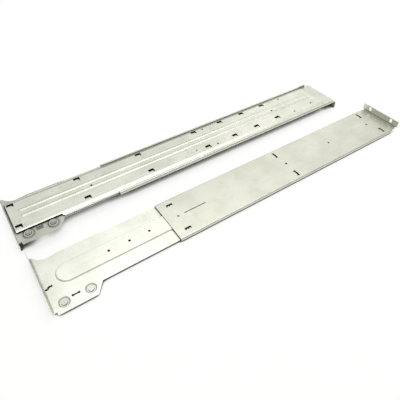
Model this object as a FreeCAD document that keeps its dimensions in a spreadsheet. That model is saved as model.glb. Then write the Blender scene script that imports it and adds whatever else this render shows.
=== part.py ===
"""Sliding server rail pair: two mirrored telescopic rails of folded sheet steel.

Frame, in millimetres: +X runs from the front flanges to the rear flanges, +Y to the top edge of
each rail as it is fitted in the rack, +Z up, with the floor at Z = 0 under the middle of the pair.
The left rail lies inner face up and stands on the tips of its flanges. The right rail lies outer
face up and rests on the ribs of its slide plate.

Each rail is drawn in its own coordinates: x from the front flange, y from the centre line of the
webs, and z from the outer face of the rear bracket towards the inside of the rack. The hand of a
rail turns the sign of z, so one set of drawing steps gives both mirrored rails.
"""
import FreeCAD, Part
import math
import os
import Sketcher

from FreeCAD import Placement, Rotation, Vector

os.makedirs("parts", exist_ok=True)
DOC = FreeCAD.newDocument("RailPair")

# ---------------------------------------------------------------- driving dimensions (mm)
SIZES = {
    "sheet": 1.2,               # thickness of every folded sheet
    "bend": 1.3,                # inner radius of the folds
    "slide_gap": 0.2,           # running clearance between the sliding sheets
    # rear bracket
    "sleeve_width": 94.8,
    "sleeve_length": 571.9,     # front edge to the rear face of the flange
    "lip_reach": 5.1,           # outer face of the side wall to the edge of the lip
    "wall_stop": 13.0,          # side walls end this far before the flange
    "lip_stop": 36.0,           # lips end this far before the flange
    "flange_drop": 15.4,        # outer face of the web to the tip of the flange
    "slot_pitch": 57.15,        # 2.25 in pattern of a 3U rack panel
    "slot_width": 6.0,
    "slot_run": 9.4,
    "slot_margin": 1.4,         # metal left between a slot and the tip of its flange
    "flange_hole": 6.6,         # clearance for M6 in the front flange
    "lance_inset": 2.2,         # rows of lanced tongues, inside the edges of the land
    "lance_length": 12.6,
    "lance_reach": 5.6,
    "lance_cut": 2.0,
    "guide_start": 22.9,        # front tongues, from the front edge of the sleeve
    "stop_middle": 293.6,       # middle tongues, from the rear face of the flange
    "stop_rear": 34.3,
    "guide_play": 0.1,          # front tongues to the bracket that they guide
    "stop_length": 15.4,
    "sleeve_hole": 4.4,
    "hole_rear": 45.5,          # last hole of the row, from the rear face of the flange
    "hole_pitch": 122.6,
    "gauge_start": 36.5,        # long gauge slot, from the front edge of the sleeve
    "gauge_end": 82.5,
    "gauge_width": 1.7,
    "gauge_eye": 3.6,
    # front bracket
    "bracket_length": 432.0,
    "side_gap": 1.2,            # edge of the bracket to the side wall of the sleeve
    "shoulder_step": 2.0,       # how much wider the bracket is ahead of the sleeve
    "shoulder_end": 104.0,
    "shoulder_run": 32.0,
    "front_up": 58.5,           # upper end of the front flange
    "front_down": 59.0,         # lower end of the front flange
    "foot_run": 7.2,            # step at the lower end of the front fold
    "scoop_radius": 24.6,
    "scoop_drop": 2.4,
    "scoop_rise": 18.0,
    "ear_reach": 19.6,          # below the edge of the bracket
    "ear_flat": 70.5,
    "ear_root": 85.5,
    "bead_rise": 1.8,
    "bead_half": 19.2,
    "bead_start": 26.2,
    "bead_stop": 12.0,          # end of the bead to the end of the bracket
    "bead_row": 0.4,
    "lock_first": 116.4,        # first of the depth lock holes in the bead
    "lock_pitch": 38.1,
    "lock_hole": 4.6,
    "stud_front": 22.0,
    "stud_rear": 64.6,
    "stud_row": 3.0,            # below the edge of the bracket
    "dish_radius": 10.6,
    "dish_floor": 7.2,
    "dish_depth": 2.0,
    "ear_window_length": 12.0,
    "ear_window_height": 9.4,
    "ear_window_drop": 3.4,
    "ear_slit": 2.6,
    "ear_eye": 4.4,
    # studs and rivets
    "stud_shank": 2.5,
    "stud_head": 4.9,
    "stud_head_height": 1.2,
    "stud_end": 0.5,            # shank left proud of its collar
    "collar_radius": 4.8,
    "collar_height": 0.8,
    "stop_rivet_back": 59.0,    # from the end of the bracket
    "stop_rivet_head": 2.4,
    "stop_rivet_shank": 1.4,
    "rivet_shank": 1.2,
    "rivet_row": 2.8,           # inside the edge of the bracket
    "rivet_front": 104.0,
    "rivet_back": 112.0,        # from the end of the bracket
    # slide plate
    "plate_front": 5.0,
    "plate_gap": 1.6,           # plate to the rear flange with the rail pushed together
    "plate_inset": 0.8,         # edge of the plate inside the edge of the bracket
    "land_inset": 7.8,          # edge of the land to the lip of the sleeve
    "land_slope": 5.5,
    "land_rise": 1.8,
    "trim_gap": 0.4,            # plate to the dishes of the ear
    "corner_front": 6.0,        # upper front corner of the plate, cut back in two steps
    "corner_mid": 16.0,
    "corner_step": 42.0,
    "corner_end": 50.0,
    "row_offset": 4.0,          # middle line of the window rows above the centre line
    "row_inset": 5.85,          # middle of a window inside the edge of the land
    "window_length": 12.0,
    "window_height": 7.2,
    "window_leg": 2.6,
    "tab_width": 7.4,
    "tab_lip": 0.5,             # how far a tab stands into its window
    "rib_pitch": 15.0,
    "rib_row": 3.9,
    "rib_half": 3.2,
    "rib_rise": 0.9,
    "rib_start": 23.0,
    "rib_stop": 12.0,
    "dot_hole": 3.6,
    # how the pair lies
    "left_shown": 191.3,        # front edge of the left sleeve as laid out
    "right_shown": 228.4,
    "right_start": 4.3,         # front flange of the right rail behind the left one
    "rail_spacing": 145.1,      # centre line to centre line
}


class Size:
    """A length that carries both its number and its spreadsheet expression."""

    def __init__(self, value, text):
        self.value = float(value)
        self.text = text

    def __add__(self, other):
        other = as_size(other)
        return Size(self.value + other.value, "(%s + %s)" % (self.text, other.text))

    def __sub__(self, other):
        other = as_size(other)
        return Size(self.value - other.value, "(%s - %s)" % (self.text, other.text))

    def __mul__(self, other):
        other = as_size(other)
        return Size(self.value * other.value, "(%s * %s)" % (self.text, other.text))

    def __truediv__(self, other):
        other = as_size(other)
        return Size(self.value / other.value, "(%s / %s)" % (self.text, other.text))

    def __neg__(self):
        return self * -1.0

    def __radd__(self, other):
        return as_size(other) + self

    def __rsub__(self, other):
        return as_size(other) - self

    def __rmul__(self, other):
        return as_size(other) * self


def as_size(number):
    """Return a Size for a plain number, or the Size itself."""
    if isinstance(number, Size):
        return number
    return Size(number, "(%.6f)" % number)


def fill_sheet(doc, sizes):
    """Write the driving dimensions into one spreadsheet and return them as Size objects."""
    sheet = doc.addObject("Spreadsheet::Sheet", "Sizes")
    named = {}
    for row, (name, value) in enumerate(sizes.items(), start=1):
        sheet.set("A%d" % row, name)
        sheet.set("B%d" % row, repr(value))
        sheet.setAlias("B%d" % row, name)
        named[name] = Size(value, "Sizes.%s" % name)
    doc.recompute()
    return named


Q = fill_sheet(DOC, SIZES)

# ---------------------------------------------------------------- shared stack of the sheets
SLEEVE_HALF = Q["sleeve_width"] / 2.0
BRACKET_Z = Q["sheet"] + Q["slide_gap"] / 2.0 + Q["bead_rise"]      # outer face of the bracket
PLATE_Z = BRACKET_Z + Q["sheet"]                                    # underside of the plate
LIP_Z = PLATE_Z + Q["sheet"] + Q["slide_gap"]                       # underside of the lips
LAND_TOP = PLATE_Z + Q["sheet"] + Q["land_rise"]
DISH_TOP = PLATE_Z + Q["dish_depth"]
BRACKET_HALF = SLEEVE_HALF - Q["sheet"] - Q["side_gap"]
PLATE_HALF = BRACKET_HALF - Q["plate_inset"]
LAND_HALF = SLEEVE_HALF - Q["lip_reach"] - Q["land_inset"]
LAND_FOOT = LAND_HALF + Q["land_slope"]
LANCE_ROW = LAND_HALF - Q["lance_inset"]
STUD_ROW = BRACKET_HALF + Q["stud_row"]
ROWS = [Q["row_offset"] + (LAND_HALF - Q["row_inset"]) * side for side in (1.0, -1.0)]
PLATE_REAR = Q["bracket_length"] + Q["stop_middle"] - Q["plate_gap"]
WINDOWS = [PLATE_REAR * share for share in (0.0178, 0.1896, 0.3703, 0.5565, 0.6525, 0.7356,
                                            0.8196)]
LOCK_HOLES = 4
STOPS = [Q["sleeve_length"] - Q[x] for x in ("stop_middle", "stop_rear")]
SLEEVE_HOLES = [Q["sleeve_length"] - Q["hole_rear"] - Q["hole_pitch"] * float(step)
                for step in range(3)]
PLATE_RIVETS = [(x, (BRACKET_HALF - Q["rivet_row"]) * side)
                for x in (Q["rivet_front"], Q["bracket_length"] - Q["rivet_back"])
                for side in (-1.0, 1.0)]
STOP_RIVETS = [(Q["bracket_length"] - Q["stop_rivet_back"], LANCE_ROW * side)
               for side in (-1.0, 1.0)]


class RailBody:
    """One sheet or turned piece of a rail, drawn as a PartDesign body."""

    PLANES = {"XY": "XY_Plane", "XZ": "XZ_Plane", "YZ": "YZ_Plane"}

    def __init__(self, label, hand):
        self.hand = hand
        self.count = 0
        self.body = DOC.addObject("PartDesign::Body", label)
        self.body.Label = label

    def sketch(self, plane, offset=0.0, at=None):
        """Add a sketch on an origin plane, moved along its normal and optionally in the plane."""
        self.count += 1
        name = "%s_sketch_%d" % (self.body.Name, self.count)
        sketch = self.body.newObject("Sketcher::SketchObject", name)
        planes = [f for f in self.body.Origin.OriginFeatures if f.Role == self.PLANES[plane]]
        sketch.AttachmentSupport = [(planes[0], "")]
        sketch.MapMode = "FlatFace"
        shift = [as_size(0.0), as_size(0.0), as_size(offset)]
        if at is not None:
            shift[0] = as_size(at[0])
            shift[1] = as_size(at[1])
        base = Vector(shift[0].value, shift[1].value, shift[2].value)
        sketch.AttachmentOffset = Placement(base, Rotation())
        for axis, size in zip("xyz", shift):
            if "Sizes." in size.text:
                sketch.setExpression("AttachmentOffset.Base.%s" % axis, size.text)
        return sketch

    def flat(self, z, at=None):
        """Add a sketch parallel to the web, at height z of the rail."""
        return self.sketch("XY", as_size(z) * float(self.hand), at)

    def pad(self, sketch, length, inward=True, both=False, taper=0.0):
        """Pad a sketch; on XY sketches inward means towards the inside of the rack."""
        return self.extrude("PartDesign::Pad", sketch, length, inward == (self.hand > 0), both, taper)

    def cut(self, sketch, length, inward=True, both=False, taper=0.0):
        """Pocket a sketch in the same sense as pad, and check that it took material away."""
        before = self.body.Shape.Volume
        feature = self.extrude("PartDesign::Pocket", sketch, length, inward != (self.hand > 0),
                               both, taper)
        if not self.body.Shape.Volume < before - 0.01:
            raise RuntimeError("%s removed nothing" % feature.Name)
        return feature

    def extrude(self, kind, sketch, length, upward, both, taper):
        """Add a pad or pocket of the given length on one or both sides of its sketch."""
        length = as_size(length)
        feature = self.body.newObject(kind, sketch.Name.replace("sketch", kind[12:].lower()))
        feature.Profile = sketch
        feature.Length = length.value
        feature.setExpression("Length", length.text)
        feature.Reversed = not upward
        feature.Midplane = both
        if taper:
            feature.TaperAngle = taper
        self.body.Tip = feature
        DOC.recompute()
        return feature

    def lean(self, sketch, height, run_x, run_y):
        """Pad tongues that rise inwards by height while leaning by run for each mm of rise."""
        tongue = self.pad(sketch, height)
        tongue.UseCustomVector = True
        tongue.Direction = Vector(run_x, run_y, float(self.hand))
        tongue.AlongSketchNormal = True
        tongue.Reversed = False
        DOC.recompute()

    def revolve(self, corners, x, y):
        """Revolve an outline of (radius, z) corners about the upright axis at x, y."""
        sketch = self.sketch("XZ", -y, at=(x, 0.0))
        outline(sketch, [(radius, as_size(z) * float(self.hand)) for radius, z in corners])
        turned = self.body.newObject("PartDesign::Revolution",
                                     sketch.Name.replace("sketch", "turned"))
        turned.Profile = sketch
        turned.ReferenceAxis = (sketch, ["V_Axis"])
        turned.Angle = 360.0
        self.body.Tip = turned
        DOC.recompute()

    def place(self, x, y, z):
        """Bind the placement of the body to the sheet."""
        sizes = [as_size(size) for size in (x, y, z)]
        self.body.Placement = Placement(Vector(*[size.value for size in sizes]), Rotation())
        for axis, size in zip("xyz", sizes):
            self.body.setExpression("Placement.Base.%s" % axis, size.text)


# ---------------------------------------------------------------- sketch helpers
def locate(sketch, geometry, point, x, y):
    """Hold one point of a sketch at x, y from its origin, by expression."""
    for kind, size in (("DistanceX", as_size(x)), ("DistanceY", as_size(y))):
        index = sketch.addConstraint(Sketcher.Constraint(kind, -1, 1, geometry, point, size.value))
        sketch.setExpression("Constraints[%d]" % index, size.text)


def circle(sketch, x, y, radius):
    """Draw one circle."""
    radius = as_size(radius)
    centre = Vector(as_size(x).value, as_size(y).value, 0)
    index = sketch.addGeometry(Part.Circle(centre, Vector(0, 0, 1), radius.value), False)
    locate(sketch, index, 3, x, y)
    driven = sketch.addConstraint(Sketcher.Constraint("Radius", index, radius.value))
    sketch.setExpression("Constraints[%d]" % driven, radius.text)


def outline(sketch, corners):
    """Draw a closed outline.

    A corner is (x, y), or (x, y, centre_x, centre_y) where the edge to the next corner is an arc.
    A half circle needs its outline to run counter-clockwise.
    """
    first = sketch.GeometryCount
    afters = corners[1:] + corners[:1]
    turns = [forward_arc(corner, after) for corner, after in zip(corners, afters)]
    for corner, after, forward in zip(corners, afters, turns):
        start = flat_point(corner)
        end = flat_point(after)
        if len(corner) == 2:
            sketch.addGeometry(Part.LineSegment(start, end), False)
            continue
        centre = flat_point(corner[2:])
        full = Part.Circle(centre, Vector(0, 0, 1), start.distanceToPoint(centre))
        if not forward:
            start, end = end, start
        angles = [math.atan2(p.y - centre.y, p.x - centre.x) for p in (start, end)]
        sketch.addGeometry(Part.ArcOfCircle(full, angles[0], angles[1]), False)
    for index, corner in enumerate(corners):
        edge = first + index
        behind = index - 1
        start_end = 1 if turns[index] else 2
        last_end = 2 if turns[behind] else 1
        previous = first + (index - 1) % len(corners)
        locate(sketch, edge, start_end, corner[0], corner[1])
        join = Sketcher.Constraint("Coincident", previous, last_end, edge, start_end)
        sketch.addConstraint(join)
    for index, (corner, after) in enumerate(zip(corners, afters)):
        if len(corner) == 2:
            continue
        chord = flat_point(after) - flat_point(corner)
        kind, size = ("DistanceX", corner[2]) if abs(chord.y) > abs(chord.x) else (
            "DistanceY", corner[3])
        size = as_size(size)
        driven = sketch.addConstraint(
            Sketcher.Constraint(kind, -1, 1, first + index, 3, size.value))
        sketch.setExpression("Constraints[%d]" % driven, size.text)


def flat_point(pair):
    """Return the vector of a pair of sizes."""
    return Vector(as_size(pair[0]).value, as_size(pair[1]).value, 0)


def forward_arc(corner, after):
    """Tell whether the edge from a corner runs counter-clockwise about its centre."""
    if len(corner) == 2:
        return True
    centre = flat_point(corner[2:])
    one = flat_point(corner) - centre
    two = flat_point(after) - centre
    return one.x * two.y - one.y * two.x > -1e-6


def rectangle(sketch, left, bottom, right, top):
    """Draw one upright rectangle."""
    outline(sketch, [(left, bottom), (right, bottom), (right, top), (left, top)])


def stadium(sketch, left, right, y, half):
    """Draw a slot with round ends along x, between the outermost points left and right."""
    inner = left + half
    outer = right - half
    outline(sketch, [(inner, y - half), (outer, y - half, outer, y),
                     (outer, y + half), (inner, y + half, inner, y)])


def upright_stadium(sketch, x, bottom, top, half):
    """Draw a slot with round ends along y."""
    low = bottom + half
    high = top - half
    outline(sketch, [(x + half, low), (x + half, high, x, high),
                     (x - half, high), (x - half, low, x, low)])


# ---------------------------------------------------------------- pieces of one rail
def fold_profile(piece, face_x, web_x, web_z, sign):
    """Draw the folded corner of a mounting flange in the XZ plane.

    Args:
        piece: the body it belongs to.
        face_x: x of the flange face that turns away from the web.
        web_x: x where the profile ends in the flat web.
        web_z: outer face of the web.
        sign: +1 where the web runs towards +X from the flange, -1 where it runs towards -X.
    """
    hand = float(piece.hand)
    sheet = Q["sheet"]
    bend = Q["bend"]
    outer = bend + sheet
    tip = -Q["flange_drop"]
    fold_x = face_x + outer * sign
    fold_z = web_z + sheet - outer
    inside = face_x + sheet * sign
    sketch = piece.sketch("XZ")
    outline(sketch, [
        (face_x, tip * hand), (inside, tip * hand),
        (inside, fold_z * hand, fold_x, fold_z * hand),
        (fold_x, web_z * hand), (web_x, web_z * hand), (web_x, (web_z + sheet) * hand),
        (fold_x, (web_z + sheet) * hand, fold_x, fold_z * hand),
        (face_x, fold_z * hand)])
    return sketch


def flange_openings(piece, x, draw):
    """Cut two openings through a flange whose turned away face is at x, spaced for the rack."""
    sketch = piece.sketch("YZ", x)
    for side in (-0.5, 0.5):
        draw(piece, sketch, Q["slot_pitch"] * side)
    before = piece.body.Shape.Volume
    piece.extrude("PartDesign::Pocket", sketch, Q["sheet"] * 4.0, True, True, 0.0)
    if not piece.body.Shape.Volume < before:
        raise RuntimeError("the flange openings of %s removed nothing" % piece.body.Label)


def flange_slot(piece, sketch, y):
    """Draw one slot that runs up the flange."""
    tip = Q["slot_margin"] - Q["flange_drop"]
    root = tip + Q["slot_run"]
    low, high = (tip, root) if piece.hand > 0 else (-root, -tip)
    upright_stadium(sketch, y, low, high, Q["slot_width"] / 2.0)


def flange_hole(piece, sketch, y):
    """Draw one round hole level with the middle of the slots."""
    z = Q["slot_margin"] + Q["slot_run"] / 2.0 - Q["flange_drop"]
    circle(sketch, y, z * float(piece.hand), Q["flange_hole"] / 2.0)


def front_bracket(label, hand):
    """Folded front sheet: web, outward flange, ear with two dishes, and a raised bead."""
    piece = RailBody(label, hand)
    sheet = Q["sheet"]
    fold = Q["bend"] + sheet
    half = BRACKET_HALF
    shoulder = half + Q["shoulder_step"]
    ear = -half - Q["ear_reach"]
    foot = Q["foot_run"]
    scoop_x = fold + Q["scoop_radius"] + 1.0
    scoop_floor = shoulder - Q["scoop_drop"]
    web = piece.flat(BRACKET_Z)
    outline(web, [
        (fold, -Q["front_down"]), (foot, -Q["front_down"]), (foot, ear + 1.0), (foot + 1.0, ear),
        (Q["ear_flat"], ear), (Q["ear_root"], -half), (Q["bracket_length"], -half),
        (Q["bracket_length"], half), (Q["shoulder_end"] + Q["shoulder_run"], half),
        (Q["shoulder_end"], shoulder), (scoop_x + Q["scoop_rise"], shoulder),
        (scoop_x, scoop_floor, scoop_x, scoop_floor + Q["scoop_radius"]),
        (fold + Q["scoop_drop"], Q["front_up"]), (fold, Q["front_up"])])
    piece.pad(web, sheet)
    flange = fold_profile(piece, as_size(0.0), fold + 0.5, BRACKET_Z, 1.0)
    flange.AttachmentOffset = Placement(Vector(0, 0, 0.25), Rotation())
    flange.setExpression("AttachmentOffset.Base.z",
                         ((Q["front_down"] - Q["front_up"]) / 2.0).text)
    piece.extrude("PartDesign::Pad", flange, Q["front_down"] + Q["front_up"], True, True, 0.0)
    bead_outside = piece.flat(BRACKET_Z)
    bead_end = Q["bracket_length"] - Q["bead_stop"]
    row = Q["bead_row"]
    stadium(bead_outside, Q["bead_start"], bead_end, row, Q["bead_half"])
    piece.pad(bead_outside, Q["bead_rise"], inward=False, taper=-45.0)
    bead_inside = piece.flat(PLATE_Z)
    stadium(bead_inside, Q["bead_start"] + 0.6, bead_end - 0.6, row, Q["bead_half"] - 0.6)
    piece.cut(bead_inside, Q["bead_rise"], inward=False, taper=-45.0)
    openings = piece.flat(0.0)
    for step in range(LOCK_HOLES):
        circle(openings, Q["lock_first"] + Q["lock_pitch"] * float(step), row, Q["lock_hole"] / 2.0)
    for x in (Q["stud_front"], Q["stud_rear"]):
        circle(openings, x, -STUD_ROW, Q["dish_radius"] - 0.6)
    for x, y in PLATE_RIVETS:
        circle(openings, x, y, Q["rivet_shank"])
    for x, y in STOP_RIVETS:
        circle(openings, x, y, Q["stop_rivet_shank"])
    window_x = (Q["stud_front"] + Q["stud_rear"]) / 2.0 - 1.6
    window_y = Q["ear_window_drop"] - STUD_ROW
    reach = Q["ear_window_length"] / 2.0
    if hand > 0:
        rise = Q["ear_window_height"] / 2.0
        rectangle(openings, window_x - reach, window_y - rise, window_x + reach, window_y + rise)
    else:
        slit = Q["ear_slit"] / 2.0
        rectangle(openings, window_x - reach + 1.0, window_y - slit, window_x + reach - 1.0,
                  window_y + slit)
        outline(openings, [(4.2, -15.4), (9.4, -15.4), (11.2, -12.6), (16.6, -12.6),
                           (16.6, -9.2), (9.8, -9.2), (7.8, -12.2), (4.2, -12.2)])
    piece.cut(openings, 20.0)
    if hand < 0:
        eyes = piece.flat(0.0)
        for side in (-1.0, 1.0):
            circle(eyes, window_x + (reach - 1.2) * side, window_y, Q["ear_eye"] / 2.0)
        piece.cut(eyes, 20.0)
    for x in (Q["stud_front"], Q["stud_rear"]):
        piece.revolve(dish_outline(), x, -STUD_ROW)
    flange_openings(piece, 0.0, flange_hole)
    return piece


def dish_outline():
    """Return the section of one dished seat, pressed inwards from the ear, with its stud hole."""
    floor = BRACKET_Z + Q["dish_depth"]
    shank = Q["stud_shank"]
    rim = Q["dish_radius"]
    foot = Q["dish_floor"]
    return [
        (shank, floor), (foot, floor), (rim - 1.2, BRACKET_Z), (rim, BRACKET_Z),
        (rim, PLATE_Z), (rim - 0.6, PLATE_Z), (foot + 0.6, DISH_TOP), (shank, DISH_TOP)]


def slide_plate(label, hand):
    """Full length inner sheet: raised land with two ribs and two rows of hook windows."""
    piece = RailBody(label, hand)
    sheet = Q["sheet"]
    half = PLATE_HALF
    top = PLATE_Z + sheet
    land = LAND_HALF
    foot = LAND_FOOT
    rise = Q["land_rise"]
    sign = float(hand)
    section = piece.sketch("YZ", Q["plate_front"])
    outline(section, [
        (-half, PLATE_Z * sign), (-foot, PLATE_Z * sign), (-land + 0.4, (PLATE_Z + rise) * sign),
        (land - 0.4, (PLATE_Z + rise) * sign), (foot, PLATE_Z * sign), (half, PLATE_Z * sign),
        (half, top * sign), (foot + 0.4, top * sign), (land, LAND_TOP * sign),
        (-land, LAND_TOP * sign), (-foot - 0.4, top * sign), (-half, top * sign)])
    piece.extrude("PartDesign::Pad", section, PLATE_REAR - Q["plate_front"], True, False, 0.0)
    trims = piece.flat(0.0)
    lower = Q["dish_radius"] + Q["trim_gap"] - STUD_ROW
    beyond = SLEEVE_HALF * 1.2
    outline(trims, [(0.0, -beyond), (Q["ear_root"] + 4.0, -beyond), (Q["ear_root"] + 2.0, -half),
                    (Q["ear_root"] - 2.0, lower), (0.0, lower)])
    outline(trims, [(0.0, beyond), (0.0, foot + 0.8), (Q["corner_front"], foot + 0.8),
                    (Q["corner_mid"], half - 2.4), (Q["corner_step"], half - 2.4),
                    (Q["corner_end"], half + 1.0), (Q["corner_end"], beyond)])
    piece.cut(trims, 20.0)
    ribs = piece.flat(LAND_TOP)
    grooves = piece.flat(PLATE_Z + rise)
    for side in (-0.5, 0.5):
        y = Q["rib_row"] + Q["rib_pitch"] * side
        width = Q["rib_half"]
        end = PLATE_REAR - Q["rib_stop"]
        rectangle(ribs, Q["rib_start"], y - width, end, y + width)
        rectangle(grooves, Q["rib_start"] + 2.0, y - width + 1.6, end - 2.0, y + width - 1.6)
    piece.pad(ribs, Q["rib_rise"], taper=-66.0)
    piece.cut(grooves, Q["rib_rise"] - 0.1)
    windows = piece.flat(0.0)
    legs = piece.flat(0.0)
    tabs = piece.flat(PLATE_Z + rise)
    length = Q["window_length"]
    height = Q["window_height"]
    tab = Q["tab_width"]
    for x in WINDOWS:
        for row in ROWS:
            left = x - length / 2.0
            low = row - height / 2.0
            rectangle(windows, left, low, left + length, low + height)
            rectangle(legs, left + length - Q["window_leg"], low - 2.4, left + length,
                      low + 1.0)
            rectangle(tabs, left + 0.8, low - 0.4, left + 0.8 + tab, low + Q["tab_lip"])
    circle(legs, Q["lock_first"] + Q["lock_pitch"], Q["bead_row"], Q["lock_hole"] / 2.0)
    dot = Q["dot_hole"] / 2.0
    for share_x, share_y in ((0.5878, 0.899), (0.5878, -0.817), (0.8291, 0.075), (0.8916, 0.899),
                             (0.8881, -0.829), (0.9662, -0.704)):
        x = PLATE_REAR * share_x
        y = land * share_y
        rectangle(legs, x - dot, y - dot, x + dot, y + dot)
    comma_x = PLATE_REAR * 0.5179
    comma_y = land * -0.655
    outline(legs, [(comma_x - 2.8, comma_y - 2.0), (comma_x + 1.8, comma_y - 0.8),
                   (comma_x + 2.8, comma_y + 2.0), (comma_x + 1.2, comma_y + 2.0),
                   (comma_x + 0.4, comma_y + 0.4), (comma_x - 2.8, comma_y - 0.4)])
    for x, y in PLATE_RIVETS:
        circle(windows, x, y, Q["rivet_shank"])
    piece.cut(windows, 20.0)
    piece.lean(tabs, sheet, 0.0, 0.6)
    piece.cut(legs, 20.0)
    return piece


def rear_bracket(label, hand):
    """C section sleeve with lanced hooks and the outward rear flange."""
    piece = RailBody(label, hand)
    sign = float(hand)
    sheet = Q["sheet"]
    bend = Q["bend"]
    outer = bend + sheet
    half = SLEEVE_HALF
    lip_edge = half - Q["lip_reach"]
    top = LIP_Z + sheet
    inner = half - sheet
    section = piece.sketch("YZ")
    path = []
    for side in (1.0, -1.0):
        walk = [
            (lip_edge * side, top * sign),
            (lip_edge * side, LIP_Z * sign),
            ((inner - bend) * side, LIP_Z * sign, (inner - bend) * side, (LIP_Z - bend) * sign),
            (inner * side, (LIP_Z - bend) * sign),
            (inner * side, outer * sign, (inner - bend) * side, outer * sign),
            ((inner - bend) * side, sheet * sign)]
        back = [
            ((inner - bend) * side, as_size(0.0), (inner - bend) * side, outer * sign),
            (half * side, outer * sign),
            (half * side, (top - outer) * sign, (half - outer) * side, (top - outer) * sign),
            ((half - outer) * side, top * sign)]
        path.append((walk, back))
    right_walk, right_back = path[0]
    left_walk, left_back = path[1]
    outline(section, right_walk + flip(left_walk) + flip(left_back) + right_back)
    run = Q["sleeve_length"] - sheet - Q["wall_stop"]
    piece.extrude("PartDesign::Pad", section, run, True, False, 0.0)
    face = Q["sleeve_length"]
    bridge = piece.flat(0.0)
    rectangle(bridge, run - 2.0, -inner + 0.6, face - outer, inner - 0.6)
    piece.pad(bridge, sheet)
    flange = fold_profile(piece, face, face - outer - 0.5, as_size(0.0), -1.0)
    piece.extrude("PartDesign::Pad", flange, Q["sleeve_width"], True, True, 0.0)
    corners = piece.sketch("YZ", face)
    drop = Q["bend"] + 1.6
    for side in (-1.0, 1.0):
        outline(corners, [((half + 1.0) * side, (sheet + 1.0) * sign),
                          ((half - 4.4) * side, (sheet + 1.0) * sign),
                          ((half - 4.4) * side, as_size(0.0)),
                          (half * side, -drop * sign), ((half + 1.0) * side, -drop * sign)])
    before = piece.body.Shape.Volume
    clip = piece.extrude("PartDesign::Pocket", corners, (outer + 1.0) * 2.0, True, True, 0.0)
    if not clip.Shape.Volume < before:
        raise RuntimeError("corner reliefs removed nothing")
    lips = piece.flat(LIP_Z - bend)
    for side in (-1.0, 1.0):
        rest = (inner - 0.01) * side
        start = face - sheet - Q["lip_stop"]
        rectangle(lips, start, min(rest, (lip_edge - 1.0) * side, key=by_value),
                  face, max(rest, (lip_edge - 1.0) * side, key=by_value))
    piece.cut(lips, 20.0)
    cuts = piece.flat(0.0)
    guides = piece.flat(0.0)
    stops = piece.flat(0.0)
    cut = Q["lance_cut"]
    span = Q["lance_length"]
    reach = Q["lance_reach"]
    long = Q["stop_length"]
    guide = Q["guide_start"]
    for side in (-1.0, 1.0):
        y = LANCE_ROW * side
        low = y - reach / 2.0
        rectangle(cuts, guide - span / 2.0, low, guide + span / 2.0, low + reach)
        tongue = (span - cut * 3.0) / 2.0
        for left in (guide - span / 2.0 + cut, guide + cut / 2.0):
            rectangle(guides, left, low - 0.3, left + tongue, low + 1.6)
        for x in STOPS:
            left = x - reach / 2.0
            rectangle(cuts, left, y - long / 2.0, left + reach, y + long / 2.0)
            rectangle(stops, left - 0.3, y - long / 2.0 + cut, left + 1.6, y + long / 2.0 - cut)
    for x in [guide] + SLEEVE_HOLES:
        circle(cuts, x, Q["bead_row"], Q["sleeve_hole"] / 2.0)
    slot = Q["gauge_width"] / 2.0
    eye = Q["gauge_eye"] / 2.0
    eye_x = Q["gauge_start"] + Q["gauge_eye"]
    slot_y = Q["bead_row"] + 1.0
    outline(cuts, [
        (Q["gauge_start"], slot_y - slot), (eye_x - eye, slot_y - slot), (eye_x, slot_y - eye),
        (eye_x + eye, slot_y - slot), (Q["gauge_end"], slot_y - slot),
        (Q["gauge_end"], slot_y + slot), (Q["gauge_start"], slot_y + slot)])
    piece.cut(cuts, sheet * 2.0)
    piece.lean(guides, BRACKET_Z - Q["guide_play"], 0.0, 1.1)
    piece.lean(stops, BRACKET_Z + sheet / 2.0, 0.9, 0.0)
    flange_openings(piece, face, flange_slot)
    return piece


def by_value(size):
    """Sort key of a Size."""
    return as_size(size).value


def flip(corners):
    """Reverse the order of outline corners, moving each arc to its new starting corner."""
    points = [corner[:2] for corner in corners]
    arcs = [corner[2:] for corner in corners]
    points.reverse()
    arcs.reverse()
    arcs = arcs[1:] + arcs[:1]
    return [point + arc for point, arc in zip(points, arcs)]


def ear_stud(label, hand, x):
    """Round headed stud seated in one dish of the ear."""
    piece = RailBody(label, hand)
    floor = BRACKET_Z + Q["dish_depth"]
    end = DISH_TOP + Q["collar_height"] + Q["stud_end"]
    shank = Q["stud_shank"]
    head = Q["stud_head"]
    crown = floor - Q["stud_head_height"]
    piece.revolve([
        (as_size(0.0), crown), (head, crown), (head, floor), (shank, floor), (shank, end),
        (as_size(0.0), end)], x, -STUD_ROW)
    return piece


def ear_collar(label, hand, x):
    """Clinch collar that closes one stud on the inner side of the ear."""
    piece = RailBody(label, hand)
    lid = DISH_TOP + Q["collar_height"]
    radius = Q["collar_radius"]
    shank = Q["stud_shank"]
    piece.revolve([(shank, DISH_TOP), (radius, DISH_TOP), (radius, lid), (shank, lid)],
                  x, -STUD_ROW)
    return piece


def plate_rivets(label, hand):
    """Four flush rivets that join the slide plate to the front bracket, as one group."""
    piece = RailBody(label, hand)
    piece.body.AllowCompound = True
    top = PLATE_Z + Q["sheet"]
    shank = Q["rivet_shank"]
    for x, y in PLATE_RIVETS:
        piece.revolve([
            (as_size(0.0), BRACKET_Z), (shank, BRACKET_Z), (shank, top), (as_size(0.0), top)],
            x, y)
    return piece


def stop_rivets(label, hand):
    """Two rivets under the bracket whose heads meet the front tongues at full extension."""
    piece = RailBody(label, hand)
    piece.body.AllowCompound = True
    shank = Q["stop_rivet_shank"]
    head = Q["stop_rivet_head"]
    crown = BRACKET_Z - 1.0
    for x, y in STOP_RIVETS:
        piece.revolve([
            (as_size(0.0), crown), (head, crown), (head, BRACKET_Z), (shank, BRACKET_Z),
            (shank, PLATE_Z), (as_size(0.0), PLATE_Z)], x, y)
    return piece


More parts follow.
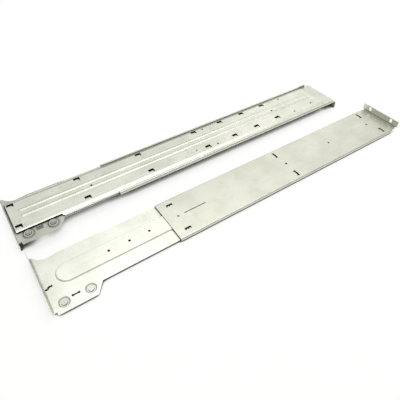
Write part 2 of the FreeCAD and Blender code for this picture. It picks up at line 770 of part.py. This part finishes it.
def build_rail(side, hand, start, shown, middle_y, web_z):
    """Build every piece of one rail and lay it on the floor."""
    pieces = [
        front_bracket(side + "_front_bracket", hand),
        slide_plate(side + "_slide_plate", hand),
        ear_stud(side + "_ear_stud_front", hand, Q["stud_front"]),
        ear_stud(side + "_ear_stud_rear", hand, Q["stud_rear"]),
        ear_collar(side + "_ear_collar_front", hand, Q["stud_front"]),
        ear_collar(side + "_ear_collar_rear", hand, Q["stud_rear"]),
        plate_rivets(side + "_plate_rivets", hand),
        stop_rivets(side + "_stop_rivets", hand)]
    for piece in pieces:
        piece.place(start, middle_y, web_z)
    sleeve = rear_bracket(side + "_rear_bracket", hand)
    sleeve.place(start + shown, middle_y, web_z)
    return pieces + [sleeve]


def write_steps(pieces):
    """Check every piece and export it in its place."""
    DOC.recompute()
    for obj in DOC.Objects:
        if "Invalid" in obj.State or "Error" in obj.State:
            raise RuntimeError("%s is in state %s" % (obj.Name, obj.State))
    for piece in pieces:
        shape = piece.body.Shape
        if shape.isNull() or not shape.isValid():
            raise RuntimeError("%s has no valid shape" % piece.body.Label)
        shape.exportStep("parts/%s.step" % piece.body.Label)


# ---------------------------------------------------------------- the pair as it lies
MID_X = (Q["right_start"] + Q["right_shown"] + Q["sleeve_length"]) / 2.0
UPPER_EDGE = Q["front_up"]
LOWER_EDGE = -Q["rail_spacing"] - BRACKET_HALF - Q["ear_reach"]
MID_Y = (UPPER_EDGE + LOWER_EDGE) / 2.0
REST_Z = LAND_TOP + Q["rib_rise"]

PIECES = build_rail("left", 1, -MID_X, Q["left_shown"], -MID_Y, Q["flange_drop"])
PIECES += build_rail("right", -1, Q["right_start"] - MID_X, Q["right_shown"],
                     -Q["rail_spacing"] - MID_Y, REST_Z)
write_steps(PIECES)
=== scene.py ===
"""Scene of a pair of telescoping rack rails in zinc-plated sheet steel.

The folded sheets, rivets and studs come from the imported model. This script gives each of them its
plating, sets the pair on a pale studio floor and places the camera above its front end.
"""
import logging
import math
from dataclasses import dataclass, field
from enum import Enum
from typing import Any, Dict, List, Optional, Sequence, Tuple, Union

import bpy
from mathutils import Euler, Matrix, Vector


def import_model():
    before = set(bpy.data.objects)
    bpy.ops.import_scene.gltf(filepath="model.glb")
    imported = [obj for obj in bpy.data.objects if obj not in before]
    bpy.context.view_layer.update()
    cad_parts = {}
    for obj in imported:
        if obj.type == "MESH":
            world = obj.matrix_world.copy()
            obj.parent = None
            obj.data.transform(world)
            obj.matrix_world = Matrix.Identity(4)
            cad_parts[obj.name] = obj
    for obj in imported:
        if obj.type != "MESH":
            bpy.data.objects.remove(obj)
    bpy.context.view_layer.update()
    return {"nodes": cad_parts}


LOG = logging.getLogger("rack_rails")
MM = 0.001
WHITE = (1.0, 1.0, 1.0, 1.0)
MIDDLE = (0.0, 0.0, 0.0)

# The sRGB curve: a straight part for dark values and a power for the rest.
BYTE_MAX = 255.0
SRGB_KNEE = 0.04045
SRGB_SLOPE = 12.92
SRGB_OFFSET = 0.055
SRGB_SCALE = 1.055
SRGB_POWER = 2.4

# Sockets of the Mix node, which carries one set for colours and one for plain numbers.
MIX_FACTOR = 0
COLOUR_A = 6
COLOUR_B = 7
COLOUR_OUT = 2
NUMBER_A = 2
NUMBER_B = 3
NUMBER_OUT = 0

Link = Tuple[bpy.types.Node, Union[int, str]]
Span = Tuple[float, float]


class Hand(Enum):
    """Side of the rack that a rail is made for."""

    LEFT = "left"
    RIGHT = "right"


class Role(Enum):
    """What a light of the studio is for."""

    KEY = "key_panel"
    FILL = "fill_panel"


class Curve(Enum):
    """How a range of values is spread over another one."""

    EVEN = "LINEAR"
    SMOOTH = "SMOOTHSTEP"


def linear(hex_colour: str) -> Tuple[float, float, float, float]:
    """Turn an sRGB hex colour into linear values.

    Args:
        hex_colour: six hex digits, with or without a leading hash.

    Returns:
        Linear red, green and blue, with alpha 1.
    """
    digits = hex_colour.lstrip("#")
    parts = [int(digits[i:i + 2], 16) / BYTE_MAX for i in (0, 2, 4)]
    red, green, blue = [
        v / SRGB_SLOPE if v <= SRGB_KNEE else ((v + SRGB_OFFSET) / SRGB_SCALE) ** SRGB_POWER
        for v in parts]
    return red, green, blue, 1.0


def add_node(tree: bpy.types.NodeTree, kind: str, settings: Optional[Dict[str, Any]] = None,
             values: Optional[Dict[Any, Any]] = None,
             links: Optional[Dict[Any, Link]] = None) -> bpy.types.Node:
    """Add one node with its settings, socket values and incoming links.

    Args:
        tree: node tree that takes the node.
        kind: Blender's type name of the node.
        settings: attributes to set on the node.
        values: default values by input socket.
        links: for each input socket, the node and output socket that feed it.

    Returns:
        The new node.
    """
    node = tree.nodes.new(kind)
    for name, value in (settings or {}).items():
        setattr(node, name, value)
    for socket, value in (values or {}).items():
        node.inputs[socket].default_value = value
    for socket, (source, output) in (links or {}).items():
        tree.links.new(source.outputs[output], node.inputs[socket])
    return node


def add_noise(tree: bpy.types.NodeTree, source: Link, scale: float, grain: Span) -> Link:
    """Add a noise texture.

    Args:
        tree: node tree that takes it.
        source: the coordinates that it reads.
        scale: how many features fit in one unit of them.
        grain: its detail and its roughness.

    Returns:
        The link that carries the noise.
    """
    noise = add_node(
        tree, "ShaderNodeTexNoise",
        values={"Scale": scale, "Detail": grain[0], "Roughness": grain[1]},
        links={"Vector": source})
    return noise, "Fac"


def add_spread(tree: bpy.types.NodeTree, source: Link, span: Span, result: Span,
               curve: Curve = Curve.EVEN) -> Link:
    """Spread one stretch of values over another.

    Args:
        tree: node tree that takes the node.
        source: the values.
        span: the stretch of them that is used.
        result: what its two ends become.
        curve: how the values between the ends follow.

    Returns:
        The link that carries the result.
    """
    spread = add_node(
        tree, "ShaderNodeMapRange", settings={"interpolation_type": curve.value},
        values={"From Min": span[0], "From Max": span[1], "To Min": result[0],
                "To Max": result[1]},
        links={"Value": source})
    return spread, "Result"


def add_openness(tree: bpy.types.NodeTree, reach_mm: float, samples: int) -> Link:
    """Measure how open the surroundings of a point are.

    Args:
        tree: node tree that takes the node.
        reach_mm: how far it looks.
        samples: how many directions it tries.

    Returns:
        The link that carries 1 in the open and less where something is near.
    """
    openness = add_node(tree, "ShaderNodeAmbientOcclusion", settings={"samples": samples},
                        values={"Distance": reach_mm * MM})
    return openness, "AO"


def add_math(tree: bpy.types.NodeTree, operation: str, first: Link, second: Link) -> Link:
    """Combine two values.

    Args:
        tree: node tree that takes the node.
        operation: Blender's name of the operation.
        first: one value.
        second: the other value.

    Returns:
        The link that carries the result.
    """
    combined = add_node(tree, "ShaderNodeMath", settings={"operation": operation},
                        links={0: first, 1: second})
    return combined, "Value"


def add_coat(tree: bpy.types.NodeTree, base: Union[str, Link], coat: str, share: Link) -> Link:
    """Lay one colour over another.

    Args:
        tree: node tree that takes the node.
        base: the colour below, as hex or as a link.
        coat: the colour on top, as hex.
        share: how much of it shows, from 0 to 1.

    Returns:
        The link that carries the mixed colour.
    """
    values = {COLOUR_B: linear(coat)}
    links = {MIX_FACTOR: share}
    if isinstance(base, str):
        values[COLOUR_A] = linear(base)
    else:
        links[COLOUR_A] = base
    mixed = add_node(tree, "ShaderNodeMix", settings={"data_type": "RGBA"}, values=values,
                     links=links)
    return mixed, COLOUR_OUT


@dataclass(frozen=True)
class ZincFinish:
    """Zinc plating on rolled steel sheet: pale, satin, with cloudy tone and faint rolling lines.

    The clouding comes from the passivation bath and the rolling lines from the sheet mill. Where a
    surface is closed in, the colour is pulled towards a dark tone: painted shade for recesses, gaps
    and windows.
    Fields that end in _mm are real sizes in millimetres.
    A grain is the detail and the roughness of a noise, and a span is the stretch of its values
    that is spread over the whole change.
    """

    name: str
    tone: str
    cloud: str
    stain: str
    cloud_mm: float = 34.0
    stain_mm: float = 9.0
    stain_share: float = 0.35
    line_mm: float = 1.6
    line_run_mm: float = 90.0
    cloud_grain: Span = (3.0, 0.55)
    cloud_span: Span = (0.38, 0.66)
    stain_grain: Span = (4.0, 0.65)
    stain_span: Span = (0.56, 0.74)
    line_grain: Span = (2.0, 0.5)
    line_span: Span = (0.3, 0.7)
    roughness_low: float = 0.36
    roughness_high: float = 0.52
    relief: float = 0.08
    relief_mm: float = 0.05
    # Painted shade: a dark tone laid on where the surroundings are closed in, with its reach,
    # strength and the openness span over which it sets in.
    painted_shade_tone: str = "#23241F"
    painted_shade_reach_mm: float = 7.0
    painted_shade_share: float = 0.8
    painted_shade_low: float = 0.55
    painted_shade_high: float = 0.86
    painted_shade_samples: int = 12

    def build(self) -> bpy.types.Material:
        """Make the material.

        Returns:
            A material that reads Object coordinates only.
        """
        material = bpy.data.materials.new(self.name)
        material.use_nodes = True
        tree = material.node_tree
        tree.nodes.clear()
        place = (add_node(tree, "ShaderNodeTexCoord"), "Object")
        clouds = add_noise(tree, place, 1.0 / (self.cloud_mm * MM), self.cloud_grain)
        cloud_share = add_spread(tree, clouds, self.cloud_span, (0.0, 1.0))
        clouded = add_coat(tree, self.tone, self.cloud, cloud_share)
        stains = add_noise(tree, place, 1.0 / (self.stain_mm * MM), self.stain_grain)
        stain_share = add_spread(tree, stains, self.stain_span, (0.0, self.stain_share))
        stained = add_coat(tree, clouded, self.stain, stain_share)
        # Painted shade: the colour is pulled towards the dark tone where the surface is closed in,
        # standing in for the shade in recesses and gaps.
        openness = add_openness(tree, self.painted_shade_reach_mm, self.painted_shade_samples)
        painted_shade_share = add_spread(tree, openness, (self.painted_shade_high, self.painted_shade_low),
                                 (0.0, self.painted_shade_share), Curve.SMOOTH)
        with_painted_shade = add_coat(tree, stained, self.painted_shade_tone, painted_shade_share)
        lines = self.add_rolling_lines(tree, place)
        roughness = add_spread(tree, lines, self.line_span,
                               (self.roughness_low, self.roughness_high))
        grain = add_node(
            tree, "ShaderNodeBump",
            values={"Strength": self.relief, "Distance": self.relief_mm * MM},
            links={"Height": lines})
        surface = add_node(
            tree, "ShaderNodeBsdfPrincipled", values={"Metallic": 1.0},
            links={"Base Color": with_painted_shade, "Roughness": roughness, "Normal": (grain, "Normal")})
        add_node(tree, "ShaderNodeOutputMaterial", links={"Surface": (surface, "BSDF")})
        return material

    def add_rolling_lines(self, tree: bpy.types.NodeTree, place: Link) -> Link:
        """Add the marks of the sheet mill, long along X and fine across it.

        Args:
            tree: node tree that takes them.
            place: the Object coordinates.

        Returns:
            The link that carries the lines.
        """
        run = 1.0 / (self.line_run_mm * MM)
        across = 1.0 / (self.line_mm * MM)
        rolled = add_node(tree, "ShaderNodeMapping", values={"Scale": (run, across, across)},
                          links={"Vector": place})
        return add_noise(tree, (rolled, "Vector"), 1.0, self.line_grain)


# Clear zinc on the front sheets: the palest of the plated pieces.
FRONT_ZINC = ZincFinish("zinc_plated_front_sheet", "#F4F5EA", "#E9EBDE", "#CDCFC3")
# The rail that lies inside up gets a darker copy of the front sheet, with stronger and wider
# painted shade in its dishes, windows and recesses.
DARK_SHADED_FRONT_ZINC = ZincFinish("zinc_plated_front_sheet_dark_painted_shade", "#D6D7CC", "#C8CABD", "#A5A79B",
                       stain_share=0.5, painted_shade_reach_mm=11.0, painted_shade_share=0.95,
                       painted_shade_low=0.78, painted_shade_high=0.99)
# The long inner sheet is a little greyer, with stronger stains.
PLATE_ZINC = ZincFinish("zinc_plated_slide_sheet", "#EEEFE3", "#E2E4D6", "#BDBFB3",
                        stain_share=0.5)
# The sleeve is darker and warmer, with larger clouds and weaker stains.
SLEEVE_ZINC = ZincFinish("zinc_plated_sleeve_sheet", "#E2E3D5", "#D7D8C9", "#BFC0B1",
                         cloud_mm=55.0, stain_mm=14.0, stain_share=0.25)
# Headed studs, collars and rivets: turned steel, smoother and darker than the sheet.
TURNED_ZINC = ZincFinish("zinc_plated_turned_steel", "#D8D9D2", "#C4C5BD", "#8F9088",
                         cloud_mm=6.0, stain_mm=2.5, roughness_low=0.25, roughness_high=0.4)
# The turned pieces of that rail get a darker copy too, with the same strong painted shade as the
# dishes around them.
DARK_SHADED_TURNED_ZINC = ZincFinish("zinc_plated_turned_steel_dark_painted_shade", "#C6C7BE", "#AEAFA5", "#7C7D74",
                              cloud_mm=6.0, stain_mm=2.5, roughness_low=0.3,
                              roughness_high=0.45, painted_shade_share=0.95, painted_shade_low=0.7,
                              painted_shade_high=0.97)


@dataclass
class PlatedPieces:
    """Pieces of one rail that share a finish and a material slot."""

    hand: Hand
    pieces: Sequence[str]
    finish: ZincFinish
    slot: str

    def dress(self, nodes: Dict[str, bpy.types.Object]) -> None:
        """Give each piece the plating.

        Args:
            nodes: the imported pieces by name.
        """
        plating = bpy.data.materials.get(self.finish.name) or self.finish.build()
        for piece in self.pieces:
            name = "%s_%s" % (self.hand.value, piece)
            mesh_object = nodes[name]
            for slot in mesh_object.material_slots:
                slot.material = plating
            LOG.info("%s dressed in %s", name, plating.name)


@dataclass
class Rail:
    """One rail: front sheets, slide plate, sleeve and turned pieces."""

    hand: Hand
    groups: List[PlatedPieces] = field(init=False)

    def __post_init__(self) -> None:
        """Group the rail's pieces by finish."""
        inside_up = self.hand is Hand.LEFT
        # The rail that lies inside up takes the darker copies with stronger painted shade.
        front = DARK_SHADED_FRONT_ZINC if inside_up else FRONT_ZINC
        small = DARK_SHADED_TURNED_ZINC if inside_up else TURNED_ZINC
        turned = ("ear_stud_front", "ear_stud_rear", "ear_collar_front", "ear_collar_rear",
                  "plate_rivets", "stop_rivets")
        self.groups = [
            PlatedPieces(self.hand, ("front_bracket",), front, "zinc_front"),
            PlatedPieces(self.hand, ("slide_plate",), PLATE_ZINC, "zinc_plate"),
            PlatedPieces(self.hand, ("rear_bracket",), SLEEVE_ZINC, "zinc_rear"),
            PlatedPieces(self.hand, turned, small, "zinc_turned")]

    def dress(self, nodes: Dict[str, bpy.types.Object]) -> None:
        """Dress every group.

        Args:
            nodes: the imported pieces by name.
        """
        for group in self.groups:
            group.dress(nodes)


@dataclass
class SoftPanel:
    """One soft rectangular light aimed at the pair."""

    role: Role
    place: Tuple[float, float, float]
    aim: Tuple[float, float, float]
    width: float
    height: float
    power: float

    def build(self) -> None:
        """Add the light to the scene."""
        lamp = bpy.data.lights.new(self.role.value, "AREA")
        lamp.shape = "RECTANGLE"
        lamp.size = self.width
        lamp.size_y = self.height
        lamp.energy = self.power
        holder = bpy.data.objects.new(self.role.value, lamp)
        bpy.context.scene.collection.objects.link(holder)
        holder.location = self.place
        towards = Vector(self.aim) - Vector(self.place)
        holder.rotation_euler = towards.to_track_quat("-Z", "Y").to_euler()
        LOG.info("%s of %.1f W placed", self.role.value, self.power)


KEY_PANEL = SoftPanel(Role.KEY, place=(0.3, 0.4, 1.9), aim=MIDDLE, width=1.6, height=0.8,
                      power=9.5)
FILL_PANEL = SoftPanel(Role.FILL, place=(2.2, 1.7, 1.6), aim=MIDDLE, width=1.8, height=1.6,
                       power=6.0)


@dataclass
class Studio:
    """Pale floor in a room that is bright overhead and dim along its walls.

    The floor is seen white by the camera, except where the rails stand close over it: there a
    painted contact shadow darkens it.
    """

    floor_half: float = 6.0
    floor_drop_mm: float = 0.4
    floor_colour: str = "#989896"
    # Reach and openness span of the painted contact shadow, where the floor's glow fades out under
    # the rails.
    painted_shadow_reach_mm: float = 30.0
    painted_shadow_low: float = 0.35
    painted_shadow_high: float = 0.58
    painted_shadow_samples: int = 24
    floor_lift: float = 0.74
    horizon: float = 0.2
    zenith: float = 0.88
    backdrop: float = 1.0
    panels: List[SoftPanel] = field(default_factory=list)

    def build(self) -> None:
        """Make the floor, the room and its lights."""
        self.build_floor()
        self.build_room()
        for panel in self.panels:
            panel.build()

    def seen_directly(self, tree: bpy.types.NodeTree) -> Link:
        """Add nodes that are 1 for camera, glossy and transmission rays.

        Args:
            tree: node tree that takes them.

        Returns:
            The node and output to link from.
        """
        path = add_node(tree, "ShaderNodeLightPath")
        glossy = add_math(tree, "MAXIMUM", (path, "Is Camera Ray"), (path, "Is Glossy Ray"))
        return add_math(tree, "MAXIMUM", glossy, (path, "Is Transmission Ray"))

    def build_floor(self) -> None:
        """Lay a pale painted floor that keeps a soft shadow, with a painted contact shadow that
        makes it dark close under the rails.

        A glow that only the camera and mirror-like surfaces see lifts the paint to white, and it
        fades where the rails close the floor in, which paints the dark shadow there.
        """
        bpy.ops.mesh.primitive_plane_add(size=self.floor_half * 2.0,
                                         location=(0.0, 0.0, -self.floor_drop_mm * MM))
        floor = bpy.context.object
        floor.name = "studio_floor"
        paint = bpy.data.materials.new("matt_white_floor_paint")
        paint.use_nodes = True
        tree = paint.node_tree
        tree.nodes.clear()
        matt = add_node(tree, "ShaderNodeBsdfDiffuse", values={"Color": linear(self.floor_colour)})
        # Painted contact shadow: the glow fades out where the rails close the floor in.
        openness = add_openness(tree, self.painted_shadow_reach_mm, self.painted_shadow_samples)
        clear = add_spread(tree, openness, (self.painted_shadow_low, self.painted_shadow_high),
                           (0.0, self.floor_lift), Curve.SMOOTH)
        lift = add_math(tree, "MULTIPLY", self.seen_directly(tree), clear)
        glow = add_node(tree, "ShaderNodeEmission", links={"Strength": lift})
        mixed = add_node(tree, "ShaderNodeAddShader",
                         links={0: (matt, "BSDF"), 1: (glow, "Emission")})
        add_node(tree, "ShaderNodeOutputMaterial", links={"Surface": (mixed, "Shader")})
        floor.data.materials.append(paint)

    def build_room(self) -> None:
        """Light the room from above, so that shadows stay close.

        The camera itself sees a plain white backdrop in place of the room.
        """
        world = bpy.data.worlds.new("studio_room")
        bpy.context.scene.world = world
        world.use_nodes = True
        tree = world.node_tree
        tree.nodes.clear()
        direction = add_node(tree, "ShaderNodeTexCoord")
        parts = add_node(tree, "ShaderNodeSeparateXYZ", links={0: (direction, "Generated")})
        room = add_spread(tree, (parts, "Z"), (0.0, 1.0), (self.horizon, self.zenith))
        path = add_node(tree, "ShaderNodeLightPath")
        strength = add_node(
            tree, "ShaderNodeMix", settings={"data_type": "FLOAT"},
            values={NUMBER_B: self.backdrop},
            links={MIX_FACTOR: (path, "Is Camera Ray"), NUMBER_A: room})
        lit = add_node(tree, "ShaderNodeBackground", values={"Color": WHITE},
                       links={"Strength": (strength, NUMBER_OUT)})
        add_node(tree, "ShaderNodeOutputWorld", links={"Surface": (lit, "Background")})


@dataclass
class Viewpoint:
    """Camera over the front end of the pair, level from side to side."""

    place_mm: Tuple[float, float, float] = (-370.3, -473.0, 527.4)
    azimuth_deg: float = -33.78
    elevation_deg: float = 46.08
    lens_mm: float = 34.94
    sensor_mm: float = 36.0
    near_m: float = 0.01
    far_m: float = 50.0

    def build(self) -> None:
        """Make the camera and set it as the scene's camera."""
        lens = bpy.data.cameras.new("front_end_camera")
        lens.lens = self.lens_mm
        lens.sensor_width = self.sensor_mm
        lens.clip_start = self.near_m
        lens.clip_end = self.far_m
        camera = bpy.data.objects.new("front_end_camera", lens)
        bpy.context.scene.collection.objects.link(camera)
        camera.location = Vector(self.place_mm) * MM
        camera.rotation_euler = Euler((
            math.radians(90.0 - self.elevation_deg), 0.0, math.radians(self.azimuth_deg)))
        bpy.context.scene.camera = camera


def main() -> None:
    """Build the scene in order."""
    logging.basicConfig(level=logging.INFO, format="%(message)s")
    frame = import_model()
    bpy.context.scene.view_settings.view_transform = "Standard"
    for hand in Hand:
        Rail(hand).dress(frame["nodes"])
    Studio(panels=[KEY_PANEL, FILL_PANEL]).build()
    Viewpoint().build()


if __name__ == "__main__":
    main()
